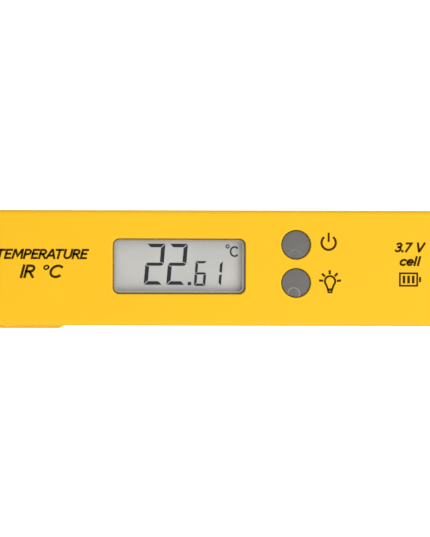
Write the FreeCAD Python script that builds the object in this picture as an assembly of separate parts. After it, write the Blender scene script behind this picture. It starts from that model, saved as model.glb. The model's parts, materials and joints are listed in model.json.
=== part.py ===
import FreeCAD, Part
import math
import os

# Hand-held infrared thermometer: a flat yellow bar with a display, two rubber keys on its face and a
# measuring trigger in one long edge. An infrared lens looks out of the left end and a charging socket
# with a dust cover sits in the right end.
#
# Frame: the bar lies on its back. +X runs along the bar towards the charging socket, +Y towards the edge
# opposite the trigger, +Z out of the display face. The origin is the middle of the back face. Millimetres.

V = FreeCAD.Vector

# ---------------------------------------------------------------- driving dimensions
BODY_LEN = 140.0
BODY_WID = 27.0
BODY_THK = 19.0
CORNER_R = 4.5            # corners of the bar seen from the front
EDGE_R = 1.0              # rounding of the face and back edges
FACE_RIM_R = 0.3          # rounding round the display window and the keys
WALL = 2.0
SPLIT_Z = BODY_THK / 2    # the two shells meet here

END_X = BODY_LEN / 2
SIDE_Y = BODY_WID / 2
INNER_X = END_X - WALL
INNER_Y = SIDE_Y - WALL
CEILING_Z = BODY_THK - WALL

SEAM = 0.15               # bevel of each shell's outer edge where they meet
LIP_H = 1.2               # tongue of the rear shell inside the front shell
LIP_T = 0.9
LIP_GAP = 0.1

# display
WINDOW_X, WINDOW_Y = -8.4, 0.4
WINDOW_LEN, WINDOW_WID, WINDOW_R = 31.0, 12.95, 1.5
PANE_THK, PANE_RECESS, PANE_EDGE = 1.0, 1.1, 1.4    # the pane's flange, behind the face
PANE_TOP_Z, PANE_GAP, PANE_BEVEL = BODY_THK - 0.4, 0.2, 0.55
GASKET_THK = 0.2
FILM_THK = 0.2            # polarising films of the display
GLASS_THK = 0.7
GLASS_LEN, GLASS_WID, GLASS_LEDGE = 36.0, 16.0, 2.0
GUIDE_THK = 1.6

# keys
KEY_X = 18.9
POWER_KEY_Y, LIGHT_KEY_Y = 5.5, -3.4
KEY_HOLE_R, KEY_R, KEY_FLANGE_R = 3.45, 3.33, 3.95
KEY_TOP_Z = BODY_THK - 0.25
KEYPAD_THK = 0.8
SWITCH_SIDE, SWITCH_H, PLUNGER_R = 5.2, 1.4, 1.35

# main board
BOARD_TOP_Z, BOARD_THK = 12.5, 1.2
BOARD_X0, BOARD_X1, BOARD_Y = -49.4, 67.4, 10.9
BOARD_BOTTOM_Z = BOARD_TOP_Z - BOARD_THK
POST_XS, POST_Y, POST_R = (-34.0, 50.0), 8.0, 2.2

# case screws
SCREW_X, SCREW_Y, BOSS_R = 66.0, 10.1, 2.2
SCREW_HEAD_R, SCREW_R, SCREW_LEN = 1.85, 1.0, 10.0
HEAD_SEAT_Z, HEAD_H = 2.5, 1.4

# infrared head, on an axis along X
AXIS_Z = SPLIT_Z
BEZEL_R, BEZEL_PROUD = 6.3, 0.8
BARREL_X0, BARREL_X1, BARREL_R = -67.05, -52.0, 6.0
LENS_SEAT_R, LENS_SHOULDER_X = 4.95, -64.6
BORE_R = 4.0
FLANGE_X0, FLANGE_X1, FLANGE_R = -60.0, -58.8, 7.0
CAN_R, CAN_FLANGE_R, CAN_X0, CAN_X1 = 4.1, 4.6, -56.6, -52.2
SENSOR_BOARD_X, SENSOR_BOARD_R, SENSOR_BOARD_THK = -50.9, 6.0, 1.0
SENSOR_PIN_R = 0.23

# trigger
TRIGGER_X0, TRIGGER_X1 = -61.7, -34.9
TRIGGER_Z0, TRIGGER_Z1 = 3.3, 8.7
TRIGGER_PROUD, TRIGGER_RAMP = 0.9, 2.1
TRIGGER_GAP = 0.25
TRIGGER_INNER_Y = -INNER_Y + 0.3
TRIGGER_BEND_R, TRIGGER_EDGE_R = 1.6, 0.35
TRIGGER_NOSE_R, TRIGGER_NOSE_GAP = 1.0, 0.03
PIN_X, PIN_Y, PIN_R = -38.5, -10.0, 0.75
PIN_BARREL_R, PIN_PLAY = 1.75, 0.05
TRIGGER_SWITCH_X, TRIGGER_SWITCH_Y = -46.6, -8.9
TRIGGER_MID_Z = (TRIGGER_Z0 + TRIGGER_Z1) / 2
SPRING_X, SPRING_R, SPRING_WIRE, SPRING_TURNS = -56.3, 1.15, 0.45, 4
SPRING_OUTER_Y, SPRING_SEAT_Y = -13.0, -8.6

# charging socket, in the right end
SOCKET_Z = BOARD_TOP_Z + 1.3
SOCKET_LEN, SOCKET_WID, SOCKET_H, SOCKET_SHEET = 5.6, 7.5, 2.6, 0.3
SOCKET_X1 = INNER_X + 0.4
COVER_WID, COVER_H, COVER_THK = 10.4, 6.0, 1.2
COVER_GAP = 0.15
TETHER_LEN, TETHER_H = 2.0, 3.0

# battery
CELL_X0, CELL_LEN, CELL_WID, CELL_H = -4.0, 50.0, 20.0, 6.0
PAD_THK = 0.3
PLUG_X1, PLUG_Y = -22.9, 6.0
LEAD_R = 0.6

# label on the back
LABEL_X, LABEL_LEN, LABEL_WID, LABEL_THK, LABEL_RECESS = 33.0, 46.0, 18.0, 0.15, 0.2

NEAR = 1e-4


# ---------------------------------------------------------------- shape helpers
def box(x0, x1, y0, y1, z0, z1):
    return Part.makeBox(x1 - x0, y1 - y0, z1 - z0, V(x0, y0, z0))


def block(cx, cy, lx, ly, z0, z1):
    """A box centred on cx, cy."""
    return box(cx - lx / 2, cx + lx / 2, cy - ly / 2, cy + ly / 2, z0, z1)


def post(x, y, z0, z1, r):
    """An upright cylinder."""
    return Part.makeCylinder(r, z1 - z0, V(x, y, z0))


def rod_x(x0, x1, r, y=0.0, z=AXIS_Z):
    """A cylinder along X, on the infrared head's axis unless y and z say otherwise."""
    return Part.makeCylinder(r, x1 - x0, V(x0, y, z), V(1, 0, 0))


def rod_y(x, y0, y1, z, r):
    return Part.makeCylinder(r, y1 - y0, V(x, y0, z), V(0, 1, 0))


def cone_x(x0, x1, r0, r1):
    return Part.makeCone(r0, r1, x1 - x0, V(x0, 0, AXIS_Z), V(1, 0, 0))


def plate(cx, cy, lx, ly, r, z0, z1):
    """A flat plate with rounded corners."""
    solid = block(cx, cy, lx, ly, z0, z1)
    if r <= 0:
        return solid
    upright = [e for e in solid.Edges if abs(e.BoundBox.ZLength - (z1 - z0)) < NEAR]
    return solid.makeFillet(r, upright)


def end_plate(cy, cz, ly, lz, r, x0, x1):
    """A plate with rounded corners whose thickness runs along X."""
    solid = box(x0, x1, cy - ly / 2, cy + ly / 2, cz - lz / 2, cz + lz / 2)
    along = [e for e in solid.Edges if abs(e.BoundBox.XLength - (x1 - x0)) < NEAR]
    return solid.makeFillet(r, along)


def edges_at_z(solid, z):
    return [e for e in solid.Edges if abs(e.BoundBox.ZMin - z) < NEAR and abs(e.BoundBox.ZMax - z) < NEAR]


def edges_at_x(solid, x):
    return [e for e in solid.Edges if abs(e.BoundBox.XMin - x) < NEAR and abs(e.BoundBox.XMax - x) < NEAR]


def revolved(profile, start, direction):
    """A solid of revolution: profile is a list of (along, radius) from the axis out and back to it."""
    points = [V(r, 0, a) for a, r in profile]
    face = Part.Face(Part.makePolygon(points + points[:1]))
    solid = face.revolve(V(0, 0, 0), V(0, 0, 1), 360)
    solid.Placement = FreeCAD.Placement(start, FreeCAD.Rotation(V(0, 0, 1), direction))
    return Part.Solid(Part.Shell(solid.Faces)) if solid.ShapeType != "Solid" else solid


def fused(shapes):
    first, rest = shapes[0], shapes[1:]
    return first.multiFuse(rest).removeSplitter() if rest else first


def signs():
    """The four corners as pairs of signs."""
    return [(sx, sy) for sx in (-1, 1) for sy in (-1, 1)]


def tube_along(points, r):
    """A round lead along straight runs joined by tangent arcs, each as large as its two runs allow."""
    edges, at = [], points[0]
    radii = []
    for before, corner, after in zip(points, points[1:], points[2:]):
        into, out = (corner - before), (after - corner)
        turn = into.getAngle(out)
        cut = 0.45 * min(into.Length, out.Length)
        radii.append(cut / math.tan(turn / 2))
        into.normalize()
        out.normalize()
        first, last = corner - into * cut, corner + out * cut
        to_middle = out - into
        to_middle.normalize()
        depth = radii[-1] / math.cos(turn / 2) - radii[-1]
        edges.append(Part.makeLine(at, first))
        edges.append(Part.Arc(first, corner + to_middle * depth, last).toShape())
        at = last
    edges.append(Part.makeLine(at, points[-1]))
    path = Part.Wire(edges)
    start = points[1] - points[0]
    ring = Part.Wire(Part.makeCircle(r, points[0], start))
    solid = path.makePipeShell([ring], True, False)
    share = solid.Volume / (math.pi * r * r * path.Length)
    print("lead length %.1f, smallest radius %.1f, volume share %.3f" % (path.Length, min(radii), share))
    return solid


# ---------------------------------------------------------------- casing
def bar(z0, z1, inset=0.0):
    """The bar's outline, drawn in by inset, from z0 to z1."""
    return plate(0, 0, BODY_LEN - 2 * inset, BODY_WID - 2 * inset, CORNER_R - inset, z0, z1)


def head_cradle(z0, z1):
    """Two ribs that hold the lens barrel's flange between them."""
    ribs = []
    for x0, x1 in ((FLANGE_X0 - 1.6, FLANGE_X0 - 0.1), (FLANGE_X1 + 0.1, FLANGE_X1 + 1.6)):
        rib = box(x0, x1, -7.6, INNER_Y, z0, z1)
        ribs.append(rib.cut(rod_x(x0, x1, BARREL_R + 0.05)))
    return ribs


def cover_recess():
    """The pocket in the right end that the socket's cover and its tether lie in."""
    pocket = end_plate(0, SOCKET_Z, COVER_WID + 2 * COVER_GAP, COVER_H + 2 * COVER_GAP, 1.0,
                       END_X - COVER_THK, END_X)
    y0 = COVER_WID / 2 + COVER_GAP
    tether = box(END_X - COVER_THK, END_X, y0 - 0.2, y0 + TETHER_LEN + COVER_GAP,
                 SOCKET_Z - TETHER_H / 2 - COVER_GAP, SOCKET_Z + TETHER_H / 2 + COVER_GAP)
    thumb = Part.makeSphere(2.2, V(END_X + 0.9, -COVER_WID / 2 - 0.4, SOCKET_Z))
    return fused([pocket, tether, thumb])


def tether_y():
    return COVER_WID / 2 + COVER_GAP + TETHER_LEN / 2


def front_shell():
    shell = bar(SPLIT_Z, BODY_THK)
    shell = shell.makeFillet(EDGE_R, edges_at_z(shell, BODY_THK))
    shell = shell.makeChamfer(SEAM, edges_at_z(shell, SPLIT_Z))
    shell = shell.cut(bar(SPLIT_Z, CEILING_Z, WALL))
    bosses = [post(sx * SCREW_X, sy * SCREW_Y, SPLIT_Z, CEILING_Z, BOSS_R) for sx, sy in signs()]
    bosses += [post(x, sy * POST_Y, BOARD_TOP_Z, CEILING_Z, POST_R) for x in POST_XS for sy in (-1, 1)]
    inside = bar(SPLIT_Z, BODY_THK, WALL / 2)
    shell = fused([shell] + [b.common(inside) for b in bosses] + head_cradle(AXIS_Z, CEILING_Z))

    opening = plate(WINDOW_X, WINDOW_Y, WINDOW_LEN, WINDOW_WID, WINDOW_R, CEILING_Z, BODY_THK)
    pane_seat = plate(WINDOW_X, WINDOW_Y, WINDOW_LEN + 2 * PANE_EDGE + 0.2, WINDOW_WID + 2 * PANE_EDGE + 0.2,
                      WINDOW_R, CEILING_Z, BODY_THK - PANE_RECESS)
    key_holes = [post(KEY_X, y, CEILING_Z, BODY_THK, KEY_HOLE_R) for y in (POWER_KEY_Y, LIGHT_KEY_Y)]
    lip_groove = bar(SPLIT_Z, SPLIT_Z + LIP_H + 0.2, WALL - LIP_T - LIP_GAP).cut(
        bar(SPLIT_Z, SPLIT_Z + LIP_H + 0.2, WALL + LIP_GAP))
    pilots = [post(sx * SCREW_X, sy * SCREW_Y, SPLIT_Z, CEILING_Z - 1.0, SCREW_R) for sx, sy in signs()]
    pilots += [post(x, sy * POST_Y, BOARD_TOP_Z, CEILING_Z - 0.7, 0.9) for x in POST_XS for sy in (-1, 1)]
    nose = rod_x(-END_X - 1, -INNER_X + NEAR, BEZEL_R + 0.05)
    socket_way = box(INNER_X - NEAR, END_X, -SOCKET_WID / 2 - 0.4, SOCKET_WID / 2 + 0.4,
                     SOCKET_Z - SOCKET_H / 2 - 0.3, SOCKET_Z + SOCKET_H / 2 + 0.3)
    tether_hole = rod_x(INNER_X - NEAR, END_X, 0.75, tether_y(), SOCKET_Z)
    cuts = [opening, pane_seat, lip_groove, nose, socket_way, tether_hole, cover_recess()]
    shell = shell.cut(fused(cuts[:1]).multiFuse(cuts[1:] + key_holes + pilots))
    rims = [e for e in edges_at_z(shell, BODY_THK) if e.BoundBox.XLength < WINDOW_LEN + NEAR
            and e.BoundBox.YMax < SIDE_Y - EDGE_R - 0.5 and e.BoundBox.YMin > -SIDE_Y + EDGE_R + 0.5
            and e.BoundBox.XMin > -INNER_X + CORNER_R and e.BoundBox.XMax < INNER_X - CORNER_R]
    return shell.makeFillet(FACE_RIM_R, rims)


def rear_shell():
    shell = bar(0, SPLIT_Z)
    shell = shell.makeFillet(EDGE_R, edges_at_z(shell, 0))
    shell = shell.makeChamfer(SEAM, edges_at_z(shell, SPLIT_Z))
    shell = shell.cut(bar(WALL, SPLIT_Z, WALL))
    lip = bar(SPLIT_Z, SPLIT_Z + LIP_H, WALL - LIP_T).cut(bar(SPLIT_Z, SPLIT_Z + LIP_H, WALL))
    inside = bar(0, SPLIT_Z, WALL / 2)
    bosses = [post(sx * SCREW_X, sy * SCREW_Y, WALL / 2, SPLIT_Z, BOSS_R + 0.4).common(inside)
              for sx, sy in signs()]
    pin_boss = post(PIN_X, PIN_Y, WALL / 2, TRIGGER_Z0 - 0.2, 2.0).common(inside)
    spring_rib = box(FLANGE_X1 + 0.1, SPRING_X + 2.0, SPRING_SEAT_Y, SPRING_SEAT_Y + 1.0, WALL, 8.5)
    cell_x1 = CELL_X0 + CELL_LEN
    bay = [box(CELL_X0 - 1.2, CELL_X0 - 0.2, y, y + 4.0, WALL, WALL + 3.0)
           for y in (-CELL_WID / 2, CELL_WID / 2 - 4.0)]
    bay.append(box(cell_x1 + 0.2, cell_x1 + 1.2, -CELL_WID / 2, CELL_WID / 2, WALL, WALL + 3.0))
    bay += [box(x, x + 6.0, min(sy * (CELL_WID / 2 + 0.2), sy * INNER_Y),
                max(sy * (CELL_WID / 2 + 0.2), sy * INNER_Y), WALL, WALL + 4.0)
            for x in (CELL_X0 + 6, cell_x1 - 12) for sy in (-1, 1)]
    shell = fused([shell, lip, pin_boss, spring_rib] + bosses + head_cradle(WALL, AXIS_Z) + bay)

    cuts = [box(TRIGGER_X0 - TRIGGER_GAP, TRIGGER_X1 + TRIGGER_GAP, -SIDE_Y - 1, -INNER_Y,
                TRIGGER_Z0 - TRIGGER_GAP, TRIGGER_Z1 + TRIGGER_GAP)]
    cuts += [post(sx * SCREW_X, sy * SCREW_Y, 0, HEAD_SEAT_Z, SCREW_HEAD_R + 0.25) for sx, sy in signs()]
    cuts += [post(sx * SCREW_X, sy * SCREW_Y, 0, SPLIT_Z, SCREW_R + 0.2) for sx, sy in signs()]
    cuts.append(post(PIN_X, PIN_Y, WALL / 2, SPLIT_Z, PIN_R))
    cuts.append(rod_x(-END_X - 1, -INNER_X + NEAR, BEZEL_R + 0.05))
    cuts.append(plate(LABEL_X, 0, LABEL_LEN + 0.4, LABEL_WID + 0.4, 1.7, 0, LABEL_RECESS))
    return shell.cut(cuts[0].multiFuse(cuts[1:]))


def case_screws():
    screws = []
    for sx, sy in signs():
        x, y = sx * SCREW_X, sy * SCREW_Y
        head = post(x, y, HEAD_SEAT_Z - HEAD_H, HEAD_SEAT_Z, SCREW_HEAD_R)
        head = head.makeFillet(0.5, edges_at_z(head, HEAD_SEAT_Z - HEAD_H))
        shank = post(x, y, HEAD_SEAT_Z, HEAD_SEAT_Z + SCREW_LEN, SCREW_R - 0.01)
        cross = [block(x, y, a, b, HEAD_SEAT_Z - HEAD_H, HEAD_SEAT_Z - HEAD_H + 0.9)
                 for a, b in ((2.0, 0.45), (0.45, 2.0))]
        screws.append(fused([head, shank]).cut(fused(cross)))
    return Part.makeCompound(screws)


def rear_label():
    return plate(LABEL_X, 0, LABEL_LEN, LABEL_WID, 1.5, LABEL_RECESS - LABEL_THK, LABEL_RECESS)


# ---------------------------------------------------------------- display
PANE_Z1 = BODY_THK - PANE_RECESS
PANE_Z0 = PANE_Z1 - PANE_THK
FILM_Z1 = PANE_Z0 - GASKET_THK
FRONT_GLASS_Z1 = FILM_Z1 - FILM_THK
REAR_GLASS_Z1 = FRONT_GLASS_Z1 - GLASS_THK
REFLECTOR_Z1 = REAR_GLASS_Z1 - GLASS_THK
GUIDE_Z1 = REFLECTOR_Z1 - FILM_THK
GUIDE_Z0 = GUIDE_Z1 - GUIDE_THK
GLASS_TOP_Y = WINDOW_Y + GLASS_WID / 2
GUIDE_X0, GUIDE_X1 = WINDOW_X - GLASS_LEN / 2 + 0.3, WINDOW_X + GLASS_LEN / 2 - 2.6


def display_window():
    """The clear pane: a flange behind the face, and a bevelled block that fills the window."""
    flange = plate(WINDOW_X, WINDOW_Y, WINDOW_LEN + 2 * PANE_EDGE, WINDOW_WID + 2 * PANE_EDGE, WINDOW_R,
                   PANE_Z0, PANE_Z1)
    front = plate(WINDOW_X, WINDOW_Y, WINDOW_LEN - 2 * PANE_GAP, WINDOW_WID - 2 * PANE_GAP,
                  WINDOW_R - PANE_GAP, PANE_Z1, PANE_TOP_Z)
    front = front.makeChamfer(PANE_BEVEL, edges_at_z(front, PANE_TOP_Z))
    return fused([flange, front])


def window_gasket():
    outer = plate(WINDOW_X, WINDOW_Y, WINDOW_LEN + 2 * PANE_EDGE, WINDOW_WID + 2 * PANE_EDGE, WINDOW_R,
                  FILM_Z1, PANE_Z0)
    inner = plate(WINDOW_X, WINDOW_Y, WINDOW_LEN + 0.6, WINDOW_WID + 0.6, WINDOW_R, FILM_Z1, PANE_Z0)
    return outer.cut(inner)


def display_sheet(inset, z1, thk, ledge=0.0):
    """One layer of the display, drawn in by inset, with a contact ledge along its lower edge."""
    half = GLASS_LEN / 2 - inset
    return box(WINDOW_X - half, WINDOW_X + half, GLASS_TOP_Y - GLASS_WID + inset - ledge,
               GLASS_TOP_Y - inset, z1 - thk, z1)


def display_frame():
    x0, x1 = WINDOW_X - GLASS_LEN / 2 - 1.2, WINDOW_X + GLASS_LEN / 2 + 1.2
    y0, y1 = GLASS_TOP_Y - GLASS_WID - GLASS_LEDGE - 1.0, GLASS_TOP_Y + 1.0
    frame = box(x0, x1, y0, y1, BOARD_TOP_Z, FRONT_GLASS_Z1)
    upright = [e for e in frame.Edges if e.BoundBox.ZLength > 1]
    frame = frame.makeFillet(0.8, upright)
    glass_pocket = box(x0 + 1.1, x1 - 1.1, y0 + 0.9, y1 - 0.9, REAR_GLASS_Z1, FRONT_GLASS_Z1)
    inner_pocket = box(x0 + 1.1, x1 - 1.1, y0 + 1.1, y1 - 0.9, GUIDE_Z0, REAR_GLASS_Z1)
    floor_way = box(x0 + 3, x1 - 5, y0 + 5, y1 - 3, BOARD_TOP_Z, GUIDE_Z0)
    strip_way = box(x0 + 1.8, x1 - 1.8, y0 + 1.1, y0 + 2.9, BOARD_TOP_Z, GUIDE_Z0)
    return frame.cut(glass_pocket.multiFuse([inner_pocket, floor_way, strip_way]))


def contact_strip():
    y0 = GLASS_TOP_Y - GLASS_WID - GLASS_LEDGE + 0.15
    half = GLASS_LEN / 2 - 1.0
    return box(WINDOW_X - half, WINDOW_X + half, y0, y0 + 1.6, BOARD_TOP_Z, REAR_GLASS_Z1)


def light_guide():
    """A clear wedge-cornered plate that spreads the two lamps' light behind the glass."""
    guide = box(GUIDE_X0, GUIDE_X1, GLASS_TOP_Y - GLASS_WID + 0.4, GLASS_TOP_Y - 0.3, GUIDE_Z0, GUIDE_Z1)
    far = [e for e in edges_at_x(guide, GUIDE_X0) if abs(e.BoundBox.ZMin - GUIDE_Z0) < NEAR
           and e.BoundBox.YLength > 1]
    return guide.makeChamfer(0.6, far)


def backlight_lamps():
    return Part.makeCompound([block(GUIDE_X1 + 0.9, WINDOW_Y + dy, 1.4, 3.0, GUIDE_Z0, GUIDE_Z0 + 1.2)
                              for dy in (-4.0, 4.0)])


# ---------------------------------------------------------------- keys
def keypad_mat():
    mid_y = (POWER_KEY_Y + LIGHT_KEY_Y) / 2
    length, width = 13.4, 18.8
    mat = plate(KEY_X, mid_y, length, width, 1.5, CEILING_Z - KEYPAD_THK, CEILING_Z)
    legs = [block(KEY_X + sx * (length / 2 - 1.1), mid_y + sy * (width / 2 - 1.1), 1.4, 1.4,
                  BOARD_TOP_Z, CEILING_Z - KEYPAD_THK) for sx, sy in signs()]
    mat = fused([mat] + legs)
    for y in (POWER_KEY_Y, LIGHT_KEY_Y):
        mat = mat.cut(post(KEY_X, y, CEILING_Z - KEYPAD_THK, CEILING_Z, KEY_FLANGE_R + 0.15))
    return mat


def key(y):
    """A round rubber key: a softly crowned cap, a flange behind the face and a stem over the switch."""
    crown = 0.25
    cap_z = KEY_TOP_Z - crown
    sphere_r = (KEY_R ** 2 + crown ** 2) / (2 * crown)
    cap = post(KEY_X, y, CEILING_Z - KEYPAD_THK, KEY_TOP_Z, KEY_R)
    cap = cap.common(Part.makeSphere(sphere_r, V(KEY_X, y, KEY_TOP_Z - sphere_r)))
    rim = [e for e in cap.Edges if abs(e.BoundBox.ZMin - cap_z) < 0.02 and e.BoundBox.XLength > 1]
    cap = cap.makeFillet(0.3, rim)
    flange = post(KEY_X, y, CEILING_Z - KEYPAD_THK, CEILING_Z - 0.05, KEY_FLANGE_R)
    stem = post(KEY_X, y, plunger_top_z() + 0.02, CEILING_Z - KEYPAD_THK, 1.5)
    return fused([cap, flange, stem])


def plunger_top_z():
    return BOARD_TOP_Z + SWITCH_H + 0.6


def key_switch_bodies():
    bodies = []
    for y in (POWER_KEY_Y, LIGHT_KEY_Y):
        body = plate(KEY_X, y, SWITCH_SIDE, SWITCH_SIDE, 0.4, BOARD_TOP_Z, BOARD_TOP_Z + SWITCH_H)
        bodies.append(body.cut(post(KEY_X, y, BOARD_TOP_Z + 0.5, BOARD_TOP_Z + SWITCH_H, PLUNGER_R + 0.1)))
    return Part.makeCompound(bodies)


def key_plunger(y):
    plunger = post(KEY_X, y, BOARD_TOP_Z + 0.9, plunger_top_z(), PLUNGER_R)
    return plunger.makeChamfer(0.1, edges_at_z(plunger, plunger_top_z()))


# ---------------------------------------------------------------- main board
HEADER_PIN_YS = [1.27 * k for k in (-3, -1, 1, 3)]
HEADER_PIN_X, HEADER_PIN_Z = -48.4, 10.05


def main_board():
    board = box(BOARD_X0, BOARD_X1, -BOARD_Y, BOARD_Y, BOARD_BOTTOM_Z, BOARD_TOP_Z)
    notch_x, notch_y = SCREW_X - BOSS_R - 0.6, SCREW_Y - BOSS_R - 0.6
    cuts = [box(notch_x, BOARD_X1, min(sy * notch_y, sy * BOARD_Y), max(sy * notch_y, sy * BOARD_Y),
                BOARD_BOTTOM_Z, BOARD_TOP_Z) for sy in (-1, 1)]
    cuts += [post(x, sy * POST_Y, BOARD_BOTTOM_Z, BOARD_TOP_Z, 1.15) for x in POST_XS for sy in (-1, 1)]
    cuts += [block(HEADER_PIN_X, y, 0.6, 0.6, BOARD_BOTTOM_Z, BOARD_TOP_Z) for y in HEADER_PIN_YS]
    return board.cut(cuts[0].multiFuse(cuts[1:]))


def board_screws():
    screws = []
    for x in POST_XS:
        for sy in (-1, 1):
            y = sy * POST_Y
            head = post(x, y, BOARD_BOTTOM_Z - 1.2, BOARD_BOTTOM_Z, 1.8)
            head = head.makeFillet(0.4, edges_at_z(head, BOARD_BOTTOM_Z - 1.2))
            shank = post(x, y, BOARD_BOTTOM_Z, BOARD_TOP_Z + 3.2, 0.89)
            cross = [block(x, y, a, b, BOARD_BOTTOM_Z - 1.2, BOARD_BOTTOM_Z - 0.5)
                     for a, b in ((1.9, 0.4), (0.4, 1.9))]
            screws.append(fused([head, shank]).cut(fused(cross)))
    return Part.makeCompound(screws)


def quad_chip(x, y, side, height, pins, up=True):
    """A chip with leads on its four sides, on the board's top or bottom face."""
    face = BOARD_TOP_Z if up else BOARD_BOTTOM_Z
    way = 1 if up else -1
    z = sorted((face + way * 0.15, face + way * height))
    body = block(x, y, side, side, z[0], z[1])
    top = edges_at_z(body, face + way * height)
    body = body.makeChamfer(0.15, top)
    pitch = (side - 1.2) / (pins - 1)
    legs = []
    lead_z = sorted((face, face + way * 0.35))
    for k in range(pins):
        offset = -side / 2 + 0.6 + k * pitch
        for s in (-1, 1):
            legs.append(block(x + offset, y + s * (side / 2 + 0.35), 0.25, 0.9, lead_z[0], lead_z[1]))
            legs.append(block(x + s * (side / 2 + 0.35), y + offset, 0.9, 0.25, lead_z[0], lead_z[1]))
    return fused([body] + legs)


def microcontroller():
    return quad_chip(-40.0, 0.0, 7.0, 1.5, 8)


def converter_chip():
    return quad_chip(38.0, 2.0, 5.0, 1.3, 6)


def charger_chip():
    return quad_chip(55.0, -3.0, 3.6, 1.1, 5)


def timing_crystal():
    crystal = plate(-40.0, -7.0, 6.0, 2.4, 1.1, BOARD_TOP_Z, BOARD_TOP_Z + 1.8)
    return crystal.makeFillet(0.3, edges_at_z(crystal, BOARD_TOP_Z + 1.8))


def charger_coil():
    coil = plate(55.0, 3.6, 4.0, 4.0, 0.8, BOARD_TOP_Z, BOARD_TOP_Z + 2.0)
    return coil.cut(post(55.0, 3.6, BOARD_TOP_Z + 1.5, BOARD_TOP_Z + 2.0, 1.3))


PASSIVE_ROWS = ((-46.5, 6.0, 4, 2.6), (31.0, -7.5, 5, 2.6), (31.0, 8.0, 4, 2.6), (44.0, -2.5, 3, 2.6))


def small_parts(ends):
    """Rows of chip resistors and capacitors: their metal ends, or the ceramic bodies between them."""
    pieces = []
    for x0, y, count, pitch in PASSIVE_ROWS:
        for k in range(count):
            x = x0 + k * pitch
            if ends:
                pieces += [block(x, y + s * 0.85, 1.2, 0.3, BOARD_TOP_Z, BOARD_TOP_Z + 0.6) for s in (-1, 1)]
            else:
                pieces.append(block(x, y, 1.2, 1.4, BOARD_TOP_Z, BOARD_TOP_Z + 0.6))
    return Part.makeCompound(pieces)


# ---------------------------------------------------------------- charging socket
def socket_shell():
    x0 = SOCKET_X1 - SOCKET_LEN
    shell = end_plate(0, SOCKET_Z, SOCKET_WID, SOCKET_H, 0.7, x0, SOCKET_X1)
    room = end_plate(0, SOCKET_Z, SOCKET_WID - 2 * SOCKET_SHEET, SOCKET_H - 2 * SOCKET_SHEET, 0.45,
                     x0 + 0.8, SOCKET_X1)
    return shell.cut(room)


def socket_tongue():
    return box(SOCKET_X1 - SOCKET_LEN + 0.8, SOCKET_X1 - 1.0, -1.9, 1.9, SOCKET_Z + 0.1, SOCKET_Z + 0.7)


def socket_cover():
    """The rubber door over the socket, with a tongue that holds it in the socket's mouth."""
    door = end_plate(0, SOCKET_Z, COVER_WID, COVER_H, 0.9, END_X - COVER_THK, END_X)
    door = door.makeFillet(0.3, edges_at_x(door, END_X))
    tongue = end_plate(0, SOCKET_Z - 0.5, 6.2, 0.9, 0.3, SOCKET_X1 - 0.7, END_X - COVER_THK)
    grip = [rod_z(END_X, -COVER_WID / 2 + 1.4 + k * 0.9) for k in range(3)]
    return fused([door, tongue]).cut(grip[0].multiFuse(grip[1:]))


def rod_z(x, y):
    """A thin groove cutter in the door's outer face."""
    return Part.makeCylinder(0.22, COVER_H - 2.2, V(x, y, SOCKET_Z - COVER_H / 2 + 1.1))


def cover_tether():
    """The fixed end of the cover: a flat tab with a headed peg pulled through the end wall."""
    y = tether_y()
    tab = box(END_X - COVER_THK, END_X - 0.1, y - TETHER_LEN / 2, y + TETHER_LEN / 2,
              SOCKET_Z - TETHER_H / 2, SOCKET_Z + TETHER_H / 2)
    peg = rod_x(INNER_X - 0.05, END_X - COVER_THK, 0.7, y, SOCKET_Z)
    head = rod_x(INNER_X - 1.0, INNER_X - 0.05, 1.05, y, SOCKET_Z)
    return fused([tab, peg, head])


# ---------------------------------------------------------------- battery
CELL_Z0 = WALL + PAD_THK


def battery_cell():
    x1 = CELL_X0 + CELL_LEN
    cell = box(CELL_X0 + 1.5, x1, -CELL_WID / 2, CELL_WID / 2, CELL_Z0, CELL_Z0 + CELL_H)
    cell = cell.makeFillet(0.9, [e for e in cell.Edges if e.BoundBox.XLength > 10])
    seam = box(CELL_X0, CELL_X0 + 1.5, -CELL_WID / 2 + 1, CELL_WID / 2 - 1, CELL_Z0 + 2.2, CELL_Z0 + 3.8)
    return fused([cell, seam])


def battery_pad():
    x1 = CELL_X0 + CELL_LEN
    return box(CELL_X0 + 5, x1 - 5, -7, 7, WALL, CELL_Z0)


def battery_header():
    x0, x1 = PLUG_X1 - 7.2, PLUG_X1 - 1.6
    body = box(x0, x1, PLUG_Y - 3.0, PLUG_Y + 3.0, 6.6, BOARD_BOTTOM_Z)
    return body.cut(box(x0 + 1.0, x1, PLUG_Y - 2.5, PLUG_Y + 2.5, 7.1, 10.8))


def battery_plug():
    plug = box(PLUG_X1 - 6.1, PLUG_X1, PLUG_Y - 2.4, PLUG_Y + 2.4, 7.2, 10.7)
    return plug.makeFillet(0.3, [e for e in plug.Edges if e.BoundBox.XLength > 3])


def battery_lead(side):
    """One of the two leads, from the plug to the cell's tab. side is 1 for the red one, -1 for the black."""
    y, gap = PLUG_Y + side * 1.1, side * 1.1
    sag = 0.5 * side
    route = [V(PLUG_X1, y, 8.95), V(PLUG_X1 + 3.2, y, 8.95), V(PLUG_X1 + 6.6, 4.6 + gap, 6.4 - sag),
             V(PLUG_X1 + 11.0, 2.2 + gap * 1.3, 4.6 + sag), V(CELL_X0 - 3.6, 0.6 + gap * 1.6, CELL_Z0 + 3.0),
             V(CELL_X0, 0.6 + gap * 1.6, CELL_Z0 + 3.0)]
    return tube_along(route, LEAD_R)


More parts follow.
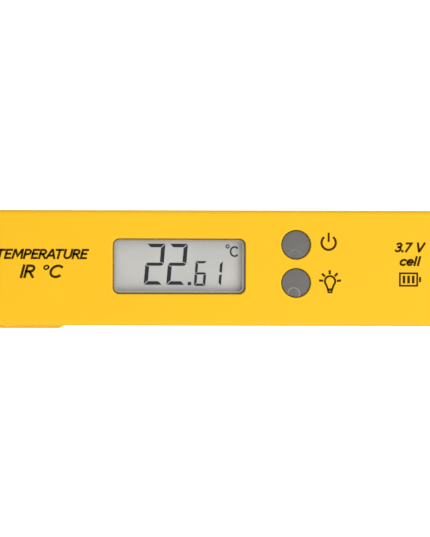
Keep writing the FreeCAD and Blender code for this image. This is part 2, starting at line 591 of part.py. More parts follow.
# ---------------------------------------------------------------- infrared head
def nose_bezel():
    """The black ring round the lens: a proud rounded rim, with a flange behind the end wall."""
    x0, back = -END_X - BEZEL_PROUD, -INNER_X + 0.9
    ring = rod_x(x0, back, BEZEL_R)
    ring = ring.makeFillet(0.5, edges_at_x(ring, x0))
    ring = fused([ring, rod_x(-INNER_X + 0.05, back, 7.2)])
    mouth = cone_x(x0, back, 5.6, 4.3)
    return ring.cut(mouth)


def lens_barrel():
    barrel = fused([rod_x(BARREL_X0, BARREL_X1, BARREL_R), rod_x(FLANGE_X0, FLANGE_X1, FLANGE_R)])
    cuts = [rod_x(BARREL_X0, LENS_SHOULDER_X, LENS_SEAT_R), rod_x(LENS_SHOULDER_X, CAN_X0 - 0.3, BORE_R),
            rod_x(CAN_X0 - 0.3, BARREL_X1, CAN_R + 0.05), rod_x(CAN_X1 - 0.9, BARREL_X1, CAN_FLANGE_R + 0.05)]
    cuts += [rod_x(LENS_SHOULDER_X + 1.2 + k, LENS_SHOULDER_X + 1.7 + k, BORE_R + 0.4) for k in range(6)]
    return barrel.cut(cuts[0].multiFuse(cuts[1:]))


def infrared_lens():
    """A thin plastic lens with stepped rings on its front."""
    thickness, rings, step, rise = 1.3, 7, 0.58, 0.16
    front_x = LENS_SHOULDER_X - 0.6 - thickness
    profile = [(thickness, 0.0), (thickness, LENS_SEAT_R - 0.1), (0.0, LENS_SEAT_R - 0.1)]
    for k in range(rings, 0, -1):
        profile += [(0.0, k * step), (-rise, (k - 1) * step)]
    profile.append((-rise, 0.0))
    tidy = [p for k, p in enumerate(profile) if k == 0 or p != profile[k - 1]]
    return revolved(tidy, V(front_x, 0, AXIS_Z), V(1, 0, 0))


def lens_seal():
    return Part.makeTorus(4.5, 0.3, V(LENS_SHOULDER_X - 0.3, 0, AXIS_Z), V(1, 0, 0))


def lens_ring():
    """The ring that holds the lens, with two notches for a spanner."""
    x1 = LENS_SHOULDER_X - 0.6 - 1.3
    ring = rod_x(BARREL_X0, x1, LENS_SEAT_R - 0.02).cut(rod_x(BARREL_X0, x1, 4.2))
    notches = [box(BARREL_X0, BARREL_X0 + 0.3, s * 4.6 - 0.5, s * 4.6 + 0.5, AXIS_Z - 0.4, AXIS_Z + 0.4)
               for s in (-1, 1)]
    return ring.cut(notches[0].fuse(notches[1]))


def sensor_can():
    can = rod_x(CAN_X0, CAN_X1 - 0.8, CAN_R)
    can = can.makeFillet(0.4, edges_at_x(can, CAN_X0))
    can = fused([can, rod_x(CAN_X1 - 0.8, CAN_X1, CAN_FLANGE_R)])
    return can.cut(box(CAN_X0, CAN_X0 + 0.6, -1.8, 1.8, AXIS_Z - 1.8, AXIS_Z + 1.8))


def sensor_filter():
    return box(CAN_X0 + 0.1, CAN_X0 + 0.6, -1.79, 1.79, AXIS_Z - 1.79, AXIS_Z + 1.79)


def sensor_pin_places():
    r = 2.54 / math.sqrt(2)
    return [(sy * r, AXIS_Z + sz * r) for sy, sz in signs()]


def sensor_pins():
    pin_end = SENSOR_BOARD_X + SENSOR_BOARD_THK
    return Part.makeCompound([rod_x(CAN_X1, pin_end, SENSOR_PIN_R, y, z) for y, z in sensor_pin_places()])


def sensor_board():
    x0, x1 = SENSOR_BOARD_X, SENSOR_BOARD_X + SENSOR_BOARD_THK
    board = rod_x(x0, x1, SENSOR_BOARD_R)
    flat = box(x0, x1, -SENSOR_BOARD_R, SENSOR_BOARD_R, AXIS_Z + 4.6, AXIS_Z + SENSOR_BOARD_R)
    holes = [rod_x(x0, x1, SENSOR_PIN_R + 0.03, y, z) for y, z in sensor_pin_places()]
    holes += [box(x0, x1, y - 0.3, y + 0.3, HEADER_PIN_Z - 0.3, HEADER_PIN_Z + 0.3) for y in HEADER_PIN_YS]
    return board.cut(flat.multiFuse(holes))


def link_header():
    x0, x1 = SENSOR_BOARD_X + SENSOR_BOARD_THK, HEADER_PIN_X + 0.9
    body = box(x0, x1, -5.1, 5.1, HEADER_PIN_Z - 1.25, BOARD_BOTTOM_Z)
    ways = [fused(link_pin(y, 0.25)) for y in HEADER_PIN_YS]
    return body.cut(ways[0].multiFuse(ways[1:]))


def link_pin(y, half):
    """The two legs of one bent pin between the sensor's board and the main board."""
    along = box(SENSOR_BOARD_X - 0.4, HEADER_PIN_X + half, y - half, y + half,
                HEADER_PIN_Z - half, HEADER_PIN_Z + half)
    up = box(HEADER_PIN_X - half, HEADER_PIN_X + half, y - half, y + half, HEADER_PIN_Z, BOARD_TOP_Z + 0.6)
    return [along, up]


def link_pins():
    return Part.makeCompound([fused(link_pin(y, 0.25)) for y in HEADER_PIN_YS])


# ---------------------------------------------------------------- trigger
def plunger_tip_y():
    return TRIGGER_SWITCH_Y - 1.0


def trigger_pad():
    """The part that a finger presses: proud of the edge, with a ramp at each end."""
    outer_y, wall_y = -SIDE_Y - TRIGGER_PROUD, -SIDE_Y + 0.2
    height = TRIGGER_Z1 - TRIGGER_Z0
    outline = [(TRIGGER_X0, TRIGGER_INNER_Y), (TRIGGER_X0, wall_y), (TRIGGER_X0 + TRIGGER_RAMP, outer_y),
               (TRIGGER_X1 - TRIGGER_RAMP, outer_y), (TRIGGER_X1, wall_y), (TRIGGER_X1, TRIGGER_INNER_Y)]
    corners = [V(x, y, TRIGGER_Z0) for x, y in outline]
    pad = Part.Face(Part.makePolygon(corners + corners[:1])).extrude(V(0, 0, height))
    bends = [e for e in pad.Edges if abs(e.BoundBox.ZLength - height) < NEAR
             and e.BoundBox.YMax < wall_y - NEAR]
    pad = pad.makeFillet(TRIGGER_BEND_R, bends)
    rims = [e for e in pad.Edges if e.BoundBox.ZLength < NEAR and e.BoundBox.YMax < wall_y + NEAR]
    return pad.makeFillet(TRIGGER_EDGE_R, rims)


def trigger_lever():
    """The long key in the edge: pad, spring pocket, stop, switch nose and the barrel round the pin."""
    z0, z1 = TRIGGER_Z0, TRIGGER_Z1
    pocket = box(TRIGGER_X0 + 1.5, TRIGGER_SWITCH_X - 2.0, SPRING_OUTER_Y, TRIGGER_INNER_Y,
                 z0 + 1.0, z1 - 1.0)
    stop = box(TRIGGER_X0 - 1.5, TRIGGER_X0 + 1.4, -INNER_Y + 0.1, TRIGGER_INNER_Y + 1.0, z0, z1)
    web = box(PIN_X - PIN_BARREL_R, PIN_X + PIN_BARREL_R, TRIGGER_INNER_Y, PIN_Y, z0, z1)
    barrel = post(PIN_X, PIN_Y, z0, z1, PIN_BARREL_R)
    nose_y = plunger_tip_y() - TRIGGER_NOSE_GAP - TRIGGER_NOSE_R
    nose = post(TRIGGER_SWITCH_X, nose_y, TRIGGER_MID_Z - 1.0, TRIGGER_MID_Z + 1.0, TRIGGER_NOSE_R)
    nose_root = block(TRIGGER_SWITCH_X, nose_y - 0.3, 2 * TRIGGER_NOSE_R, 0.6,
                      TRIGGER_MID_Z - 1.0, TRIGGER_MID_Z + 1.0)
    lever = fused([trigger_pad().cut(pocket), stop, web, barrel, nose, nose_root])
    return lever.cut(post(PIN_X, PIN_Y, z0, z1, PIN_R + PIN_PLAY))


def trigger_pin():
    return post(PIN_X, PIN_Y, WALL / 2, SPLIT_Z - 0.1, PIN_R)


def trigger_switch():
    body = box(TRIGGER_SWITCH_X - 3.0, TRIGGER_SWITCH_X + 3.0, TRIGGER_SWITCH_Y, TRIGGER_SWITCH_Y + 3.5,
               TRIGGER_MID_Z - 1.8, BOARD_BOTTOM_Z)
    return body.cut(rod_y(TRIGGER_SWITCH_X, TRIGGER_SWITCH_Y, TRIGGER_SWITCH_Y + 1.1, TRIGGER_MID_Z, 1.3))


def trigger_plunger():
    return rod_y(TRIGGER_SWITCH_X, plunger_tip_y(), TRIGGER_SWITCH_Y + 0.7, TRIGGER_MID_Z, 1.2)


def trigger_spring():
    """A compression spring between the lever's pocket and a rib of the rear shell, its ends clear of both."""
    free = 0.1
    height = SPRING_SEAT_Y - SPRING_OUTER_Y - SPRING_WIRE - 2 * free
    pitch = height / SPRING_TURNS
    helix = Part.makeHelix(pitch, height, SPRING_R)
    wire_way = V(0, 2 * math.pi * SPRING_R, pitch)
    ring = Part.Wire(Part.makeCircle(SPRING_WIRE / 2, V(SPRING_R, 0, 0), wire_way))
    coil = Part.Wire(helix.Edges).makePipeShell([ring], True, True)
    coil.Placement = FreeCAD.Placement(V(SPRING_X, SPRING_OUTER_Y + free + SPRING_WIRE / 2, TRIGGER_MID_Z),
                                       FreeCAD.Rotation(V(0, 0, 1), V(0, 1, 0)))
    return coil


# ---------------------------------------------------------------- all nodes
PARTS = {
    "front_shell": front_shell,
    "rear_shell": rear_shell,
    "case_screws": case_screws,
    "rear_label": rear_label,
    "display_window": display_window,
    "window_gasket": window_gasket,
    "display_front_film": lambda: display_sheet(0.7, FILM_Z1, FILM_THK),
    "display_front_glass": lambda: display_sheet(0.0, FRONT_GLASS_Z1, GLASS_THK, GLASS_LEDGE),
    "display_rear_glass": lambda: display_sheet(0.0, REAR_GLASS_Z1, GLASS_THK),
    "display_reflector": lambda: display_sheet(0.4, REFLECTOR_Z1, FILM_THK),
    "display_frame": display_frame,
    "contact_strip": contact_strip,
    "light_guide": light_guide,
    "backlight_lamps": backlight_lamps,
    "keypad_mat": keypad_mat,
    "power_key": lambda: key(POWER_KEY_Y),
    "light_key": lambda: key(LIGHT_KEY_Y),
    "key_switch_bodies": key_switch_bodies,
    "power_plunger": lambda: key_plunger(POWER_KEY_Y),
    "light_plunger": lambda: key_plunger(LIGHT_KEY_Y),
    "main_board": main_board,
    "board_screws": board_screws,
    "microcontroller": microcontroller,
    "converter_chip": converter_chip,
    "charger_chip": charger_chip,
    "timing_crystal": timing_crystal,
    "charger_coil": charger_coil,
    "chip_part_bodies": lambda: small_parts(False),
    "chip_part_ends": lambda: small_parts(True),
    "socket_shell": socket_shell,
    "socket_tongue": socket_tongue,
    "socket_cover": socket_cover,
    "cover_tether": cover_tether,
    "battery_cell": battery_cell,
    "battery_pad": battery_pad,
    "battery_header": battery_header,
    "battery_plug": battery_plug,
    "battery_lead_red": lambda: battery_lead(1),
    "battery_lead_black": lambda: battery_lead(-1),
    "nose_bezel": nose_bezel,
    "lens_barrel": lens_barrel,
    "infrared_lens": infrared_lens,
    "lens_seal": lens_seal,
    "lens_ring": lens_ring,
    "sensor_can": sensor_can,
    "sensor_filter": sensor_filter,
    "sensor_pins": sensor_pins,
    "sensor_board": sensor_board,
    "link_header": link_header,
    "link_pins": link_pins,
    "trigger_lever": trigger_lever,
    "trigger_pin": trigger_pin,
    "trigger_spring": trigger_spring,
    "trigger_switch": trigger_switch,
    "trigger_plunger": trigger_plunger,
}


def main():
    os.makedirs("parts", exist_ok=True)
    for name, build in PARTS.items():
        shape = build()
        good = shape.isValid() and len(shape.Solids) > 0 and all(s.Volume > 0 for s in shape.Solids)
        state = "ok" if good else "BAD"
        print("%-20s solids %2d  volume %9.2f  %s" % (name, len(shape.Solids), shape.Volume, state))
        shape.exportStep(os.path.join("parts", name + ".step"))


main()
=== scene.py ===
import json
import math

import bmesh
import bpy
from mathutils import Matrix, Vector


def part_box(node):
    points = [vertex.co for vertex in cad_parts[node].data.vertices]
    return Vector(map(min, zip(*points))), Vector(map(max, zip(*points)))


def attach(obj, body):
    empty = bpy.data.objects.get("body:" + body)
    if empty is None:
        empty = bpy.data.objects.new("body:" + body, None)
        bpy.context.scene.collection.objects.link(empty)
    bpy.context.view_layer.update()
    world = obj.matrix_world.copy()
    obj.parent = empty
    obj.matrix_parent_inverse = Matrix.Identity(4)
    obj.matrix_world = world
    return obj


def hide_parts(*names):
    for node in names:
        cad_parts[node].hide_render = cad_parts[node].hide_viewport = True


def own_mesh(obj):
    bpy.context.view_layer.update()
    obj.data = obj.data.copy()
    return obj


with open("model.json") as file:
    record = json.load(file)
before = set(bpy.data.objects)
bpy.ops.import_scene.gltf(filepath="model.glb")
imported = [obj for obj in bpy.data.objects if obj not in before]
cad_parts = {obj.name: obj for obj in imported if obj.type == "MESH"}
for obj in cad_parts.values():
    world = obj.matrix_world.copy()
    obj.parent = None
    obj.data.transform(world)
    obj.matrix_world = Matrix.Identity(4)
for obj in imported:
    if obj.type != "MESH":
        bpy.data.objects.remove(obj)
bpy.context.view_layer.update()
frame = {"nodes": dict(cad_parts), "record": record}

# Infrared thermometer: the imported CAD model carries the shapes. This script adds what is printed on its
# face, the reading on its display, every material, the studio and the camera. Metres.

MM = 0.001


def middle_of(node):
    """The middle of a CAD node's box."""
    return sum(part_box(node), Vector()) / 2


# ---------------------------------------------------------------- places, worked out from the frame
FACE_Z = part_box("front_shell")[1].z
BACK_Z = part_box("rear_shell")[0].z
FILM_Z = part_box("display_front_film")[1].z
WINDOW = middle_of("display_window")
POWER_KEY = middle_of("power_key")
LIGHT_KEY = middle_of("light_key")
LENS = middle_of("infrared_lens")

# ---------------------------------------------------------------- lettering on the face
INK_THICKNESS = 0.012 * MM
ITALIC = math.tan(math.radians(15))
TITLE_PEN, LARGE_PEN, DEGREE_PEN = 0.52 * MM, 0.60 * MM, 0.4 * MM
# Each line of print has its piece, its text, its centre, the size that its ink fills, and its pen.
PRINT = (
    ("print_title", "TEMPERATURE", (-40.4 * MM, 3.2 * MM), (22.0 * MM, 2.42 * MM), TITLE_PEN),
    ("print_subtitle", "IR °C", (-40.5 * MM, -0.85 * MM), (10.1 * MM, 3.2 * MM), LARGE_PEN),
    ("print_voltage", "3.7 V", (45.5 * MM, 4.95 * MM), (7.3 * MM, 2.35 * MM), TITLE_PEN),
    ("print_cell", "cell", (45.5 * MM, 1.75 * MM), (5.2 * MM, 2.35 * MM), TITLE_PEN),
)

# ---------------------------------------------------------------- symbols on the face
ICON_PEN = 0.53 * MM
POWER_ICON = (26.5 * MM, POWER_KEY.y + 0.5 * MM)
POWER_RADIUS, POWER_GAP = 1.66 * MM, math.radians(47)
POWER_BAR, POWER_BAR_PEN = (0.4 * MM, 2.1 * MM), ICON_PEN * 0.9

LAMP_ICON = (26.85 * MM, LIGHT_KEY.y + 0.4 * MM)
LAMP_RADIUS, LAMP_NECK = 1.2 * MM, math.radians(50)
LAMP_FOOT, LAMP_CAP = 1.85 * MM, 2.6 * MM       # how far below the centre they lie
LAMP_THREAD = 0.34 * MM                         # how far below the foot
FOOT_HALF, CAP_HALF = 0.5 * MM, 0.4 * MM
RAY_ANGLES, RAY_ENDS = (4, 47, 92, 137, 176), (1.86 * MM, 2.32 * MM)
GLASS_PEN, CAP_PEN, THREAD_PEN = ICON_PEN * 0.88, ICON_PEN * 0.7, 0.24 * MM

BATTERY_AT, BATTERY_SIZE = (45.5 * MM, -2.55 * MM), (4.7 * MM, 2.9 * MM)
BATTERY_CASE = 0.86                   # share of the width that its case takes
BATTERY_TIP = (0.36, 0.64)            # shares of the height where its tip starts and ends
BATTERY_BARS = (0.2, 0.43, 0.66)      # shares of the width where its bars stand
BAR_INSET = 0.85 * MM
CASE_PEN, TIP_PEN, BAR_PEN = 0.42 * MM, 0.5 * MM, 0.62 * MM

# ---------------------------------------------------------------- the reading, from the window's middle
SEGMENT_THICKNESS = 0.03 * MM
SEGMENT_POINT = 0.12                  # how far the middle bar's tips stop short, in widths of an upright
DIGIT_SLANT = math.tan(math.radians(4.5))
LARGE_DIGIT = dict(width=4.3 * MM, height=9.6 * MM, upright=0.93 * MM, level=0.82 * MM, middle=0.72 * MM,
                   gap=0.18 * MM)
SMALL_DIGIT = dict(width=2.66 * MM, height=5.8 * MM, upright=0.6 * MM, level=0.52 * MM, middle=0.48 * MM,
                   gap=0.13 * MM)
LARGE_Y, SMALL_Y = 0.48 * MM, -1.66 * MM
READING = (("2", -5.76 * MM, LARGE_Y, LARGE_DIGIT), ("2", -0.47 * MM, LARGE_Y, LARGE_DIGIT),
           ("6", 5.0 * MM, SMALL_Y, SMALL_DIGIT), ("1", 8.68 * MM, SMALL_Y, SMALL_DIGIT))
LIT = {"1": "bc", "2": "abged", "6": "afgecd"}
POINT_AT, POINT_SIZE = (2.43 * MM, -4.03 * MM), (0.82 * MM, 0.76 * MM)
DEGREE_AT, DEGREE_RADIUS, DEGREE_LINE = (11.35 * MM, 4.68 * MM), 0.36 * MM, 0.25 * MM
CELSIUS_AT, CELSIUS_RADII, CELSIUS_LINE = (12.97 * MM, 3.49 * MM), (0.93 * MM, 1.08 * MM), 0.38 * MM
CELSIUS_ARC = math.radians(50), math.radians(310)

# ---------------------------------------------------------------- smoothness of drawn lines
ARC_STEPS, BOWL_STEPS, PEN_STEPS, RING_POINTS = 48, 20, 8, 32
SHARPEST_MITRE = 0.5                  # a mitred corner reaches out to at most twice half the pen

# ---------------------------------------------------------------- colours and surfaces
NOISE_RANGE = (0.35, 0.65)            # the values between which most of a noise lies
YELLOW = (0.92, 0.53, 0.012)
# The trigger's colour: the casing yellow a little darker and more orange, which is painted shade for the
# trigger lying below the face.
SHADED_TRIGGER_YELLOW = (0.91, 0.515, 0.012)
BEVEL_PAINTED_REFLECTION = 0.55                     # how solid the grey painted reflection on the window pane's bevel is
BEVEL_DEPTHS = (0.01 * MM, 0.04 * MM)
BORDER_DEPTH = 0.65 * MM              # the pane's border lies this far below its face
# Each paler arc on a key has its centre, its radius and its strength.
KEY_MARKS = (((LIGHT_KEY.x - 0.49 * MM, LIGHT_KEY.y - 2.5 * MM), 1.36 * MM, 0.78),
             ((POWER_KEY.x - 0.25 * MM, POWER_KEY.y - 2.6 * MM), 1.4 * MM, 0.25))
LABEL_BORDER, LABEL_MARGIN, LABEL_RULES = 1.2 * MM, 2.4 * MM, 3.0 * MM
CHIP_LEAD = 0.78 * MM
TAPE_LENGTH = 6.0 * MM
ZEBRA_PITCH, LENS_PITCH, BARREL_PITCH = 0.18 * MM, 0.29 * MM, 0.25 * MM

# ---------------------------------------------------------------- studio
VIEW_DISTANCE = 0.60
VIEW_HEIGHT = 0.1253                  # what the picture's height shows at the face
VIEW_ROLL = math.radians(0.15)
VIEW_CENTRE = Vector((0, -0.09 * MM, FACE_Z))
FLOOR_HALF, FLOOR_GAP, FLOOR_GLOW = 4.0, 0.05 * MM, 0.75
ROOM_LIGHT = 0.42
# Each light has its name, its place, its size and its power. Both aim at the origin.
LIGHTS = (("key_light", (0.4, -0.36, 0.78), (1.4, 0.72), 8.9),
          ("side_light", (0.6, 0.7, 0.6), (1.2, 1.1), 3.3))


# ---------------------------------------------------------------- mesh helpers
def new_object(name, mesh):
    thing = bpy.data.objects.new(name, mesh)
    bpy.context.scene.collection.objects.link(thing)
    return thing


def raised(name, polygons, z0, z1):
    """A thin solid: each polygon, a list of (x, y) corners, stands from z0 to z1.

    Polygons that share a corner are joined there."""
    shape = bmesh.new()
    corners = {}
    for polygon in polygons:
        ring = []
        for x, y in polygon:
            key = (round(x, 8), round(y, 8))
            if key not in corners:
                corners[key] = shape.verts.new((x, y, z0))
            ring.append(corners[key])
        shape.faces.new(ring)
    top = bmesh.ops.extrude_face_region(shape, geom=shape.faces[:])
    lifted = [item for item in top["geom"] if isinstance(item, bmesh.types.BMVert)]
    bmesh.ops.translate(shape, verts=lifted, vec=(0, 0, z1 - z0))
    bmesh.ops.recalc_face_normals(shape, faces=shape.faces[:])
    mesh = bpy.data.meshes.new(name)
    shape.to_mesh(mesh)
    shape.free()
    return new_object(name, mesh)


def joined(name, parts):
    """One object holding the meshes of several, each still a closed solid."""
    shape = bmesh.new()
    for part in parts:
        shape.from_mesh(part.data)
        bpy.data.objects.remove(part)
    mesh = bpy.data.meshes.new(name)
    shape.to_mesh(mesh)
    shape.free()
    return new_object(name, mesh)


def arc(cx, cy, rx, ry, start, end, steps=ARC_STEPS):
    """Points on an ellipse's arc, from angle start to angle end."""
    angles = [start + (end - start) * k / steps for k in range(steps + 1)]
    return [(cx + rx * math.cos(a), cy + ry * math.sin(a)) for a in angles]


def side_points(points, half, closed):
    """The points half to the left of a line, with mitred corners."""
    count = len(points)
    moved = []
    for k in range(count):
        before = points[k - 1] if closed or k > 0 else None
        after = points[(k + 1) % count] if closed or k < count - 1 else None
        ways = []
        for a, b in ((before, points[k]), (points[k], after)):
            if a is not None and b is not None:
                ways.append(Vector((b[0] - a[0], b[1] - a[1])).normalized())
        way = sum(ways, Vector((0, 0))).normalized()
        stretch = 1 / max(SHARPEST_MITRE, way.dot(ways[0]))
        moved.append((points[k][0] - way.y * half * stretch, points[k][1] + way.x * half * stretch))
    return moved


def lengthened(points, extra):
    """The line with both ends moved outwards."""
    ends = []
    for end, inner in ((points[0], points[1]), (points[-1], points[-2])):
        away = Vector((end[0] - inner[0], end[1] - inner[1])).normalized() * extra
        ends.append((end[0] + away.x, end[1] + away.y))
    return [ends[0]] + list(points[1:-1]) + [ends[1]]


def stroke(points, width, closed=False, round_ends=True):
    """A line drawn with a pen, as polygons for raised().

    Its ends are round, or square and half a pen longer."""
    if not closed and not round_ends:
        points = lengthened(points, width / 2)
    left = side_points(points, width / 2, closed)
    right = side_points(points, -width / 2, closed)
    count = len(points)
    last = count if closed else count - 1
    quads = [[left[k], right[k], right[(k + 1) % count], left[(k + 1) % count]] for k in range(last)]
    if round_ends and not closed:
        for (x, y), start, turn in ((points[0], left[0], math.pi), (points[-1], left[-1], -math.pi)):
            angle = math.atan2(start[1] - y, start[0] - x)
            quads.append(arc(x, y, width / 2, width / 2, angle, angle + turn, PEN_STEPS))
    return quads


def bowl(x, y, rx, ry, start, end):
    """Part of a letter's curve, its angles in degrees."""
    return arc(x, y, rx, ry, math.radians(start), math.radians(end), BOWL_STEPS)


# Each letter is a width and its pen strokes. Heights run from 0 at the foot to 1 at the top of a capital,
# and widths are in the same unit.
LETTERS = {
    "A": (0.80, [[(0, 0), (0.36, 1), (0.44, 1), (0.80, 0)], [(0.16, 0.30), (0.64, 0.30)]]),
    "C": (0.72, [bowl(0.46, 0.5, 0.46, 0.5, 52, 308)]),
    "E": (0.52, [[(0.52, 1), (0, 1), (0, 0), (0.52, 0)], [(0, 0.52), (0.44, 0.52)]]),
    "I": (0.0, [[(0, 0), (0, 1)]]),
    "M": (0.96, [[(0, 0), (0.08, 1), (0.15, 1), (0.48, 0.24), (0.81, 1), (0.88, 1), (0.96, 0)]]),
    "P": (0.56, [[(0, 0), (0, 1)] + bowl(0.28, 0.73, 0.28, 0.27, 90, -90) + [(0, 0.46)]]),
    "R": (0.60, [[(0, 0), (0, 1)] + bowl(0.28, 0.74, 0.27, 0.26, 90, -90) + [(0, 0.48)],
                 [(0.26, 0.48), (0.60, 0)]]),
    "T": (0.70, [[(0, 1), (0.70, 1)], [(0.35, 1), (0.35, 0)]]),
    "U": (0.68, [[(0, 1)] + bowl(0.34, 0.34, 0.34, 0.34, 180, 360) + [(0.68, 1)]]),
    "V": (0.74, [[(0, 1), (0.34, 0), (0.40, 0), (0.74, 1)]]),
    "3": (0.50, [bowl(0.22, 0.76, 0.26, 0.24, 140, -90), bowl(0.22, 0.26, 0.28, 0.26, 90, -140)]),
    "7": (0.52, [[(0, 1), (0.52, 1), (0.14, 0)]]),
    ".": (0.0, [[(0, 0), (0, 0.02)]]),
    "c": (0.44, [bowl(0.30, 0.33, 0.30, 0.33, 55, 305)]),
    "e": (0.54, [[(0.02, 0.34), (0.53, 0.34)] + bowl(0.28, 0.33, 0.28, 0.33, 5, 310)]),
    "l": (0.0, [[(0, 0), (0, 1)]]),
    "°": (0.30, [bowl(0.15, 0.85, 0.17, 0.17, 0, 360)]),
    " ": (0.16, []),
}
LETTER_SPACE = 0.27
# How much closer together the letters of a pair stand.
KERNING = {"AT": 0.22, "RA": 0.08, "ll": -0.09}


def lettering(name, text, centre, size, pen, z0, z1):
    """Slanted lettering centred on a point, its ink filling a width and a height."""
    width = sum(LETTERS[letter][0] + LETTER_SPACE for letter in text) - LETTER_SPACE
    width -= sum(KERNING.get(a + b, 0) for a, b in zip(text, text[1:]))
    height = size[1] - pen
    x_scale = (size[0] - pen - ITALIC * height) / width
    x0 = centre[0] - size[0] / 2 + pen / 2
    y0 = centre[1] - size[1] / 2 + pen / 2
    parts = []
    for letter, following in zip(text, text[1:] + " "):
        for line in LETTERS[letter][1]:
            placed = [(x0 + x * x_scale + ITALIC * y * height, y0 + y * height) for x, y in line]
            line_pen = DEGREE_PEN if letter == "°" else pen
            parts.append(raised(name, stroke(placed, line_pen, round_ends=False), z0, z1))
        x0 += (LETTERS[letter][0] + LETTER_SPACE - KERNING.get(letter + following, 0)) * x_scale
    return joined(name, parts)


# ---------------------------------------------------------------- the print on the face
def power_icon():
    """A ring open at the top, with a bar through the gap."""
    x, y = POWER_ICON
    start, end = math.pi / 2 + POWER_GAP, 2.5 * math.pi - POWER_GAP
    ring = arc(x, y, POWER_RADIUS, POWER_RADIUS, start, end)
    bar = [(x, y + up) for up in POWER_BAR]
    return [stroke(ring, ICON_PEN, round_ends=False), stroke(bar, POWER_BAR_PEN, round_ends=False)]


def lamp_icon():
    """A light bulb: glass, neck, cap with a thread, and five rays."""
    x, y = LAMP_ICON
    foot_y, cap_y = y - LAMP_FOOT, y - LAMP_CAP
    left, right = x - FOOT_HALF, x + FOOT_HALF
    glass = arc(x, y, LAMP_RADIUS, LAMP_RADIUS, -math.pi / 2 + LAMP_NECK, 1.5 * math.pi - LAMP_NECK)
    outline = [(right, foot_y)] + glass + [(left, foot_y)]
    cap = [(left, foot_y), (x - CAP_HALF, cap_y), (x + CAP_HALF, cap_y), (right, foot_y)]
    thread = [(left, foot_y - LAMP_THREAD), (right, foot_y - LAMP_THREAD)]
    strokes = [stroke(outline, GLASS_PEN), stroke(cap, CAP_PEN, closed=True), stroke(thread, THREAD_PEN)]
    for angle in map(math.radians, RAY_ANGLES):
        ray = [(x + r * math.cos(angle), y + r * math.sin(angle)) for r in RAY_ENDS]
        strokes.append(stroke(ray, ICON_PEN, round_ends=False))
    return strokes


def battery_symbol():
    """A plain battery with three bars."""
    width, height = BATTERY_SIZE
    x0, y0 = BATTERY_AT[0] - width / 2, BATTERY_AT[1] - height / 2
    x1, y1 = x0 + width * BATTERY_CASE, y0 + height
    tip = [(x0 + width, y0 + height * share) for share in BATTERY_TIP]
    strokes = [stroke([(x0, y0), (x1, y0), (x1, y1), (x0, y1)], CASE_PEN, closed=True)]
    strokes.append(stroke(tip, TIP_PEN))
    for share in BATTERY_BARS:
        bar = [(x0 + width * share, y0 + BAR_INSET), (x0 + width * share, y1 - BAR_INSET)]
        strokes.append(stroke(bar, BAR_PEN, round_ends=False))
    return strokes


def printed():
    """Everything printed on the face, one piece each."""
    z0, z1 = FACE_Z - INK_THICKNESS / 2, FACE_Z + INK_THICKNESS / 2
    pieces = [lettering(*line, z0, z1) for line in PRINT]
    drawings = {"icon_power": power_icon(), "icon_lamp": lamp_icon(), "pictogram_battery": battery_symbol()}
    for name, strokes in drawings.items():
        pieces.append(joined(name, [raised(name, polygons, z0, z1) for polygons in strokes]))
    return pieces


# ---------------------------------------------------------------- the reading
def flipped(outline, x=1, y=1):
    return [(px * x, py * y) for px, py in outline]


def segment_shapes(width, height, upright, level, middle, gap):
    """The seven bars of one digit, centred on the origin, before the slant."""
    right, top, thin = width / 2, height / 2, middle / 2
    slit = gap / math.sqrt(2)
    point = SEGMENT_POINT * upright
    tip = right - point
    outer = max(2 * slit - point, slit)
    ceiling = [(-right + slit, top), (right - slit, top), (right - level - slit, top - level),
               (-right + level + slit, top - level)]
    side = [(right, top - slit), (right, outer), (tip - thin + outer - slit, thin + slit),
            (right - upright, thin + slit), (right - upright, top - upright - slit)]
    bar = [(-tip, 0), (-tip + thin, thin), (tip - thin, thin), (tip, 0), (tip - thin, -thin),
           (-tip + thin, -thin)]
    return {"a": ceiling, "d": flipped(ceiling, y=-1), "g": bar,
            "b": side, "c": flipped(side, y=-1), "f": flipped(side, x=-1), "e": flipped(side, x=-1, y=-1)}


def in_window(place):
    """A place given from the window's middle."""
    return WINDOW.x + place[0], WINDOW.y + place[1]


def digit(figure, dx, dy, size):
    """The lit bars of one slanted digit, as outlines."""
    shapes = segment_shapes(**size)
    x0, y0 = in_window((dx, dy))
    return [[(x0 + x + DIGIT_SLANT * y, y0 + y) for x, y in shapes[letter]] for letter in LIT[figure]]


def decimal_point():
    x, y = in_window(POINT_AT)
    rx, ry = POINT_SIZE[0] / 2, POINT_SIZE[1] / 2
    return [(x - rx, y - ry), (x + rx, y - ry), (x + rx, y + ry), (x - rx, y + ry)]


def reading():
    """The display's reading in one piece: four digits, a point, a degree sign and a C."""
    last = RING_POINTS - 1
    end = 2 * math.pi * last / RING_POINTS
    ring = arc(*in_window(DEGREE_AT), DEGREE_RADIUS, DEGREE_RADIUS, 0, end, last)
    letter = arc(*in_window(CELSIUS_AT), *CELSIUS_RADII, *CELSIUS_ARC)
    drawings = [[outline] for figure in READING for outline in digit(*figure)]
    drawings.append([decimal_point()])
    drawings.append(stroke(ring, DEGREE_LINE, closed=True))
    drawings.append(stroke(letter, CELSIUS_LINE))
    z0, z1 = FILM_Z, FILM_Z + SEGMENT_THICKNESS
    return joined("display_reading", [raised("segment", polygons, z0, z1) for polygons in drawings])


